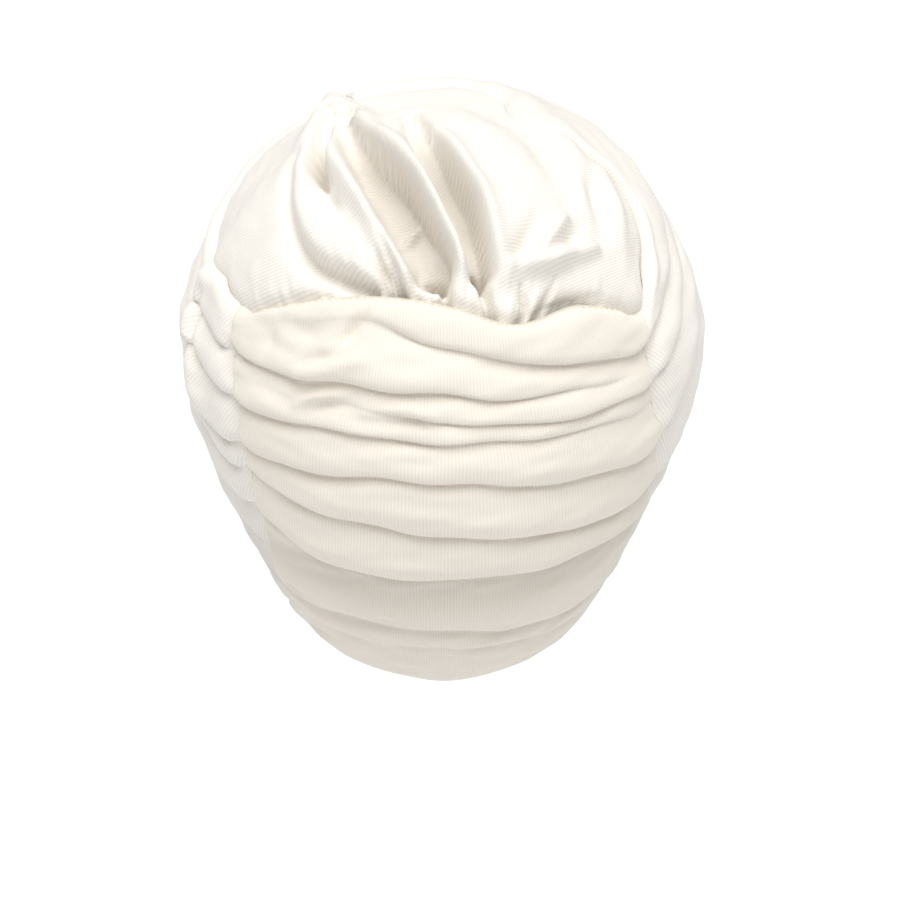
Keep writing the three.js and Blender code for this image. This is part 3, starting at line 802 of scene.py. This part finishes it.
# %% Sew the seams
points = np.concatenate(seams)
starts = np.cumsum([0] + [len(seam) for seam in seams[:-1]])
edges = [(start + i, start + i + 1)
         for start, seam in zip(starts, seams) for i in range(len(seam) - 1)]
lines = bpy.data.meshes.new("seam_stitches")
lines.from_pydata(points.tolist(), edges, [])
stitches = bpy.data.objects.new("seam_stitches", lines)
bpy.context.collection.objects.link(stitches)
sewing = stitches.modifiers.new("sewing", "NODES")
sewing.node_group = stitch_tree(thread)
sizes = {"Spacing": STITCH_SPACING * MM, "Length": STITCH_LENGTH * MM,
         "Thickness": THREAD_THICK * MM, "Seed": 7}
for socket in sewing.node_group.interface.items_tree:
    if socket.in_out == "INPUT" and socket.name in sizes:
        sewing[socket.identifier] = sizes[socket.name]
sewn = bpy.data.meshes.new_from_object(
    stitches.evaluated_get(bpy.context.evaluated_depsgraph_get())
)
stitches.modifiers.clear()
stitches.data = sewn
stitch_faces = STITCH_SIDES * STITCH_RINGS
print("stitches:", len(sewn.polygons) // stitch_faces, "of", stitch_faces, "faces each")

# %% [markdown]
# ## Stage, light and camera
# A pale floor lies well below, because the wrap is held up as a head would hold it. It is
# seamless paper, matt and nearly white. One broad soft lamp overhead gives the shadows
# under the rolls, and a pale sky fills them.
# The camera looks down from behind, with a long lens, so the far side hardly shrinks.

# %% The floor
FLOOR_DROP, FLOOR_REACH = 0.45, 6.0
floor_z = cad_low.z - FLOOR_DROP
floor_mesh = bpy.data.meshes.new("floor")
corners = [(-1, -1), (1, -1), (1, 1), (-1, 1)]
floor_mesh.from_pydata(
    [(x * FLOOR_REACH, y * FLOOR_REACH, floor_z) for x, y in corners], [], [(0, 1, 2, 3)])
floor = bpy.data.objects.new("floor", floor_mesh)
bpy.context.collection.objects.link(floor)
paper, tree = new_material("white studio paper")
shader = add_node(tree, "ShaderNodeBsdfPrincipled", inputs={
    "Base Color": linear(FLOOR_WHITE), "Roughness": 0.8}).outputs[0]
add_node(tree, "ShaderNodeOutputMaterial", inputs={"Surface": shader})
floor_mesh.materials.append(paper)
print("floor, m:", round(floor_z, 3))

# %% The light
middle = (cad_low + cad_high) / 2
SUN_FROM = (0.0, 0.25, 1.2)
SUN_SPREAD, SUN_STRENGTH, SKY_STRENGTH = 60, 3.2, 0.3


def soft_sun(name, place, spread, strength):
    """A broad lamp far off, in the direction of place from the wrap. spread is in degrees."""
    lamp = bpy.data.lights.new(name, "SUN")
    lamp.angle, lamp.energy = math.radians(spread), strength
    holder = bpy.data.objects.new(name, lamp)
    holder.location = middle + Vector(place)
    holder.rotation_euler = Vector(place).to_track_quat("Z", "Y").to_euler()
    bpy.context.collection.objects.link(holder)


soft_sun("overhead", SUN_FROM, SUN_SPREAD, SUN_STRENGTH)
world = bpy.data.worlds.new("pale sky")
world.use_nodes = True
sky = world.node_tree.nodes["Background"]
sky.inputs["Color"].default_value = linear(SKY_COOL)
sky.inputs["Strength"].default_value = SKY_STRENGTH
bpy.context.scene.world = world
bpy.context.scene.view_settings.view_transform = "Standard"

# %% The camera
ELEVATION = math.radians(33)
DISTANCE, LENS = 1.0, 95
# It aims below the middle, so the wrap stands in the upper part of the frame.
AIM_ASIDE, AIM_BELOW = 0.003, 0.050
AIM = Vector((middle.x - AIM_ASIDE, 0, middle.z - AIM_BELOW))
camera_data = bpy.data.cameras.new("camera")
camera_data.lens = LENS
camera = bpy.data.objects.new("camera", camera_data)
back = Vector((0, math.cos(ELEVATION), math.sin(ELEVATION)))
camera.location = AIM + back * DISTANCE
camera.rotation_euler = back.to_track_quat("Z", "Y").to_euler()
bpy.context.collection.objects.link(camera)
bpy.context.scene.camera = camera
print("camera, m:", [round(part, 3) for part in camera.location])

# %% [markdown]
# ## Tie the pieces to the model
# Each piece rides on the one body, and its imported node is hidden. The table below also
# lists each panel's slot, flat size and hang, which nothing here reads. The flat size is an
# estimate, chosen to suit the area of cloth that the panel has here. A real cut is probably
# larger, with more turned in behind the rolls.

PANELS = [
    (back_band, "back_band", "band_jersey", (0.20, 0.22), "gathered"),
    (crown, "crown", "crown_jersey", (0.20, 0.18), "gathered"),
    (wrap_right, "front_wrap_right", "wrap_jersey", (0.26, 0.20), "draped"),
    (wrap_left, "front_wrap_left", "wrap_jersey", (0.22, 0.20), "draped"),
]
for piece, node, slot, flat, held in PANELS:
    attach(piece, "root")
    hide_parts(node)
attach(stitches, "root")
